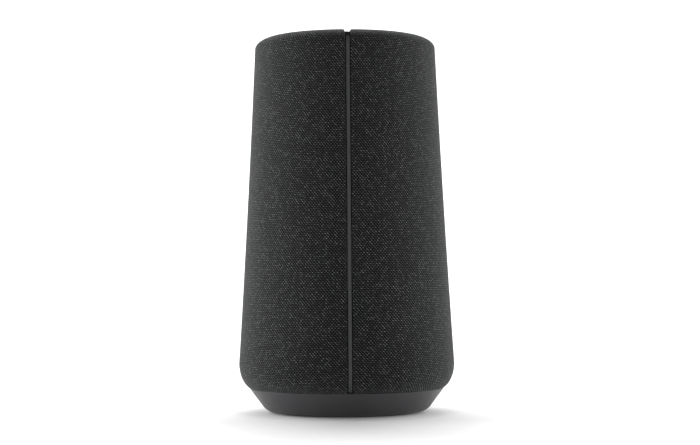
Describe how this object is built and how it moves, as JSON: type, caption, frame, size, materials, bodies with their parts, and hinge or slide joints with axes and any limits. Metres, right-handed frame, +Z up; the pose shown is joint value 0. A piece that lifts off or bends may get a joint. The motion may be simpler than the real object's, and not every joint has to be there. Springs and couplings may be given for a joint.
{
  "type": "smart speaker",
  "caption": "Tall tapering round smart speaker: knitted sleeve with a back seam strip on a plain plastic skirt, recessed key deck on top.",
  "frame": {"origin": "centre of the foot ring on the surface the speaker stands on", "axes": "+Z up along the body's axis; the front faces -Y and the sleeve's seam is on +Y"},
  "size_m": [0.145, 0.145, 0.253],
  "materials": {
    "sleeve_knit": "matte",
    "seam_plastic": "satin",
    "skirt_plastic": "satin",
    "frame_plastic": "matte",
    "deck_plastic": "satin",
    "key_plastic": "satin",
    "light_guide": "satin",
    "foot_rubber": "matte",
    "surround_rubber": "satin",
    "screw_steel": "satin",
    "board_laminate": "satin",
    "component_black": "satin",
    "lamp_resin": "gloss",
    "contact_metal": "polished",
    "sink_aluminium": "satin",
    "cone_paper": "matte",
    "coil_wire": "satin",
    "spider_cloth": "matte",
    "dome_silk": "satin",
    "basket_paint": "satin",
    "ferrite": "matte",
    "zinc_steel": "satin",
    "wadding": "matte",
    "lead_jacket": "satin"
  },
  "bodies": {
    "housing": {"antenna": "contact_metal", "base_skirt": "skirt_plastic", "board_screws": "screw_steel", "bottom_cover": "frame_plastic", "bottom_screws": "screw_steel", "cabinet_front": "frame_plastic", "cabinet_gasket": "foot_rubber", "cabinet_rear": "frame_plastic", "cabinet_screws": "screw_steel", "chassis": "frame_plastic", "damping_pad": "wadding", "driver_screws": "screw_steel", "fabric_sleeve": "sleeve_knit", "foot_ring": "foot_rubber", "grille_frame": "frame_plastic", "heat_sink": "sink_aluminium", "inlet_pin": "contact_metal", "key_board": "board_laminate", "key_switches": "component_black", "lamps": "lamp_resin", "light_ring": "light_guide", "main_board": "board_laminate", "main_board_parts": "component_black", "mic_seals": "foot_rubber", "microphones": "component_black", "power_board": "board_laminate", "power_inlet": "component_black", "power_parts": "component_black", "radiator_frame": "basket_paint", "radiator_surround": "surround_rubber", "ribbon_cable": "lead_jacket", "seam_strip": "seam_plastic", "service_switch": "component_black", "standoffs": "contact_metal", "top_bezel": "deck_plastic", "top_deck": "deck_plastic", "tweeter_motor": "zinc_steel", "tweeter_plate": "basket_paint", "tweeter_surround": "surround_rubber", "woofer_basket": "basket_paint", "woofer_gasket": "foot_rubber", "woofer_lead": "lead_jacket", "woofer_magnet": "ferrite", "woofer_spider": "spider_cloth", "woofer_surround": "surround_rubber", "woofer_top_plate": "zinc_steel", "woofer_yoke": "zinc_steel"},
    "woofer_cone_group": {"woofer_cone": "cone_paper", "woofer_dust_cap": "cone_paper", "voice_coil": "coil_wire"},
    "tweeter_dome_group": {"tweeter_dome": "dome_silk", "tweeter_coil": "coil_wire"},
    "radiator_group": {"radiator_plate": "sink_aluminium"},
    "play_key_cap": {"play_key": "key_plastic"},
    "volume_up_key_cap": {"volume_up_key": "key_plastic"},
    "volume_down_key_cap": {"volume_down_key": "key_plastic"},
    "mic_key_cap": {"mic_key": "key_plastic"},
    "service_button_cap": {"service_button": "key_plastic"}
  },
  "joints": [
    {"name": "woofer_stroke", "type": "slide", "parent": "housing", "child": "woofer_cone_group", "axis": [0, -1, 0], "range_m": [-0.0035, 0.0035], "stiffness_N_per_m": 1500, "deforming": ["woofer_surround", "woofer_spider"]},
    {"name": "tweeter_stroke", "type": "slide", "parent": "housing", "child": "tweeter_dome_group", "axis": [0, -1, 0], "range_m": [-0.0003, 0.0003], "stiffness_N_per_m": 2500, "deforming": ["tweeter_surround"]},
    {"name": "radiator_stroke", "type": "slide", "parent": "housing", "child": "radiator_group", "axis": [0, 1, 0], "range_m": [-0.004, 0.004], "stiffness_N_per_m": 900, "deforming": ["radiator_surround"]},
    {"name": "play_press", "type": "slide", "parent": "housing", "child": "play_key_cap", "axis": [0, 0, -1], "range_m": [0, 0.0005], "stiffness_N_per_m": 2500},
    {"name": "volume_up_press", "type": "slide", "parent": "housing", "child": "volume_up_key_cap", "axis": [0, 0, -1], "range_m": [0, 0.0005], "stiffness_N_per_m": 2500},
    {"name": "volume_down_press", "type": "slide", "parent": "housing", "child": "volume_down_key_cap", "axis": [0, 0, -1], "range_m": [0, 0.0005], "stiffness_N_per_m": 2500},
    {"name": "mic_press", "type": "slide", "parent": "housing", "child": "mic_key_cap", "axis": [0, 0, -1], "range_m": [0, 0.0005], "stiffness_N_per_m": 2500},
    {"name": "service_press", "type": "slide", "parent": "housing", "child": "service_button_cap", "axis": [0, 0, 1], "range_m": [0, 0.0005], "stiffness_N_per_m": 2500}
  ]
}
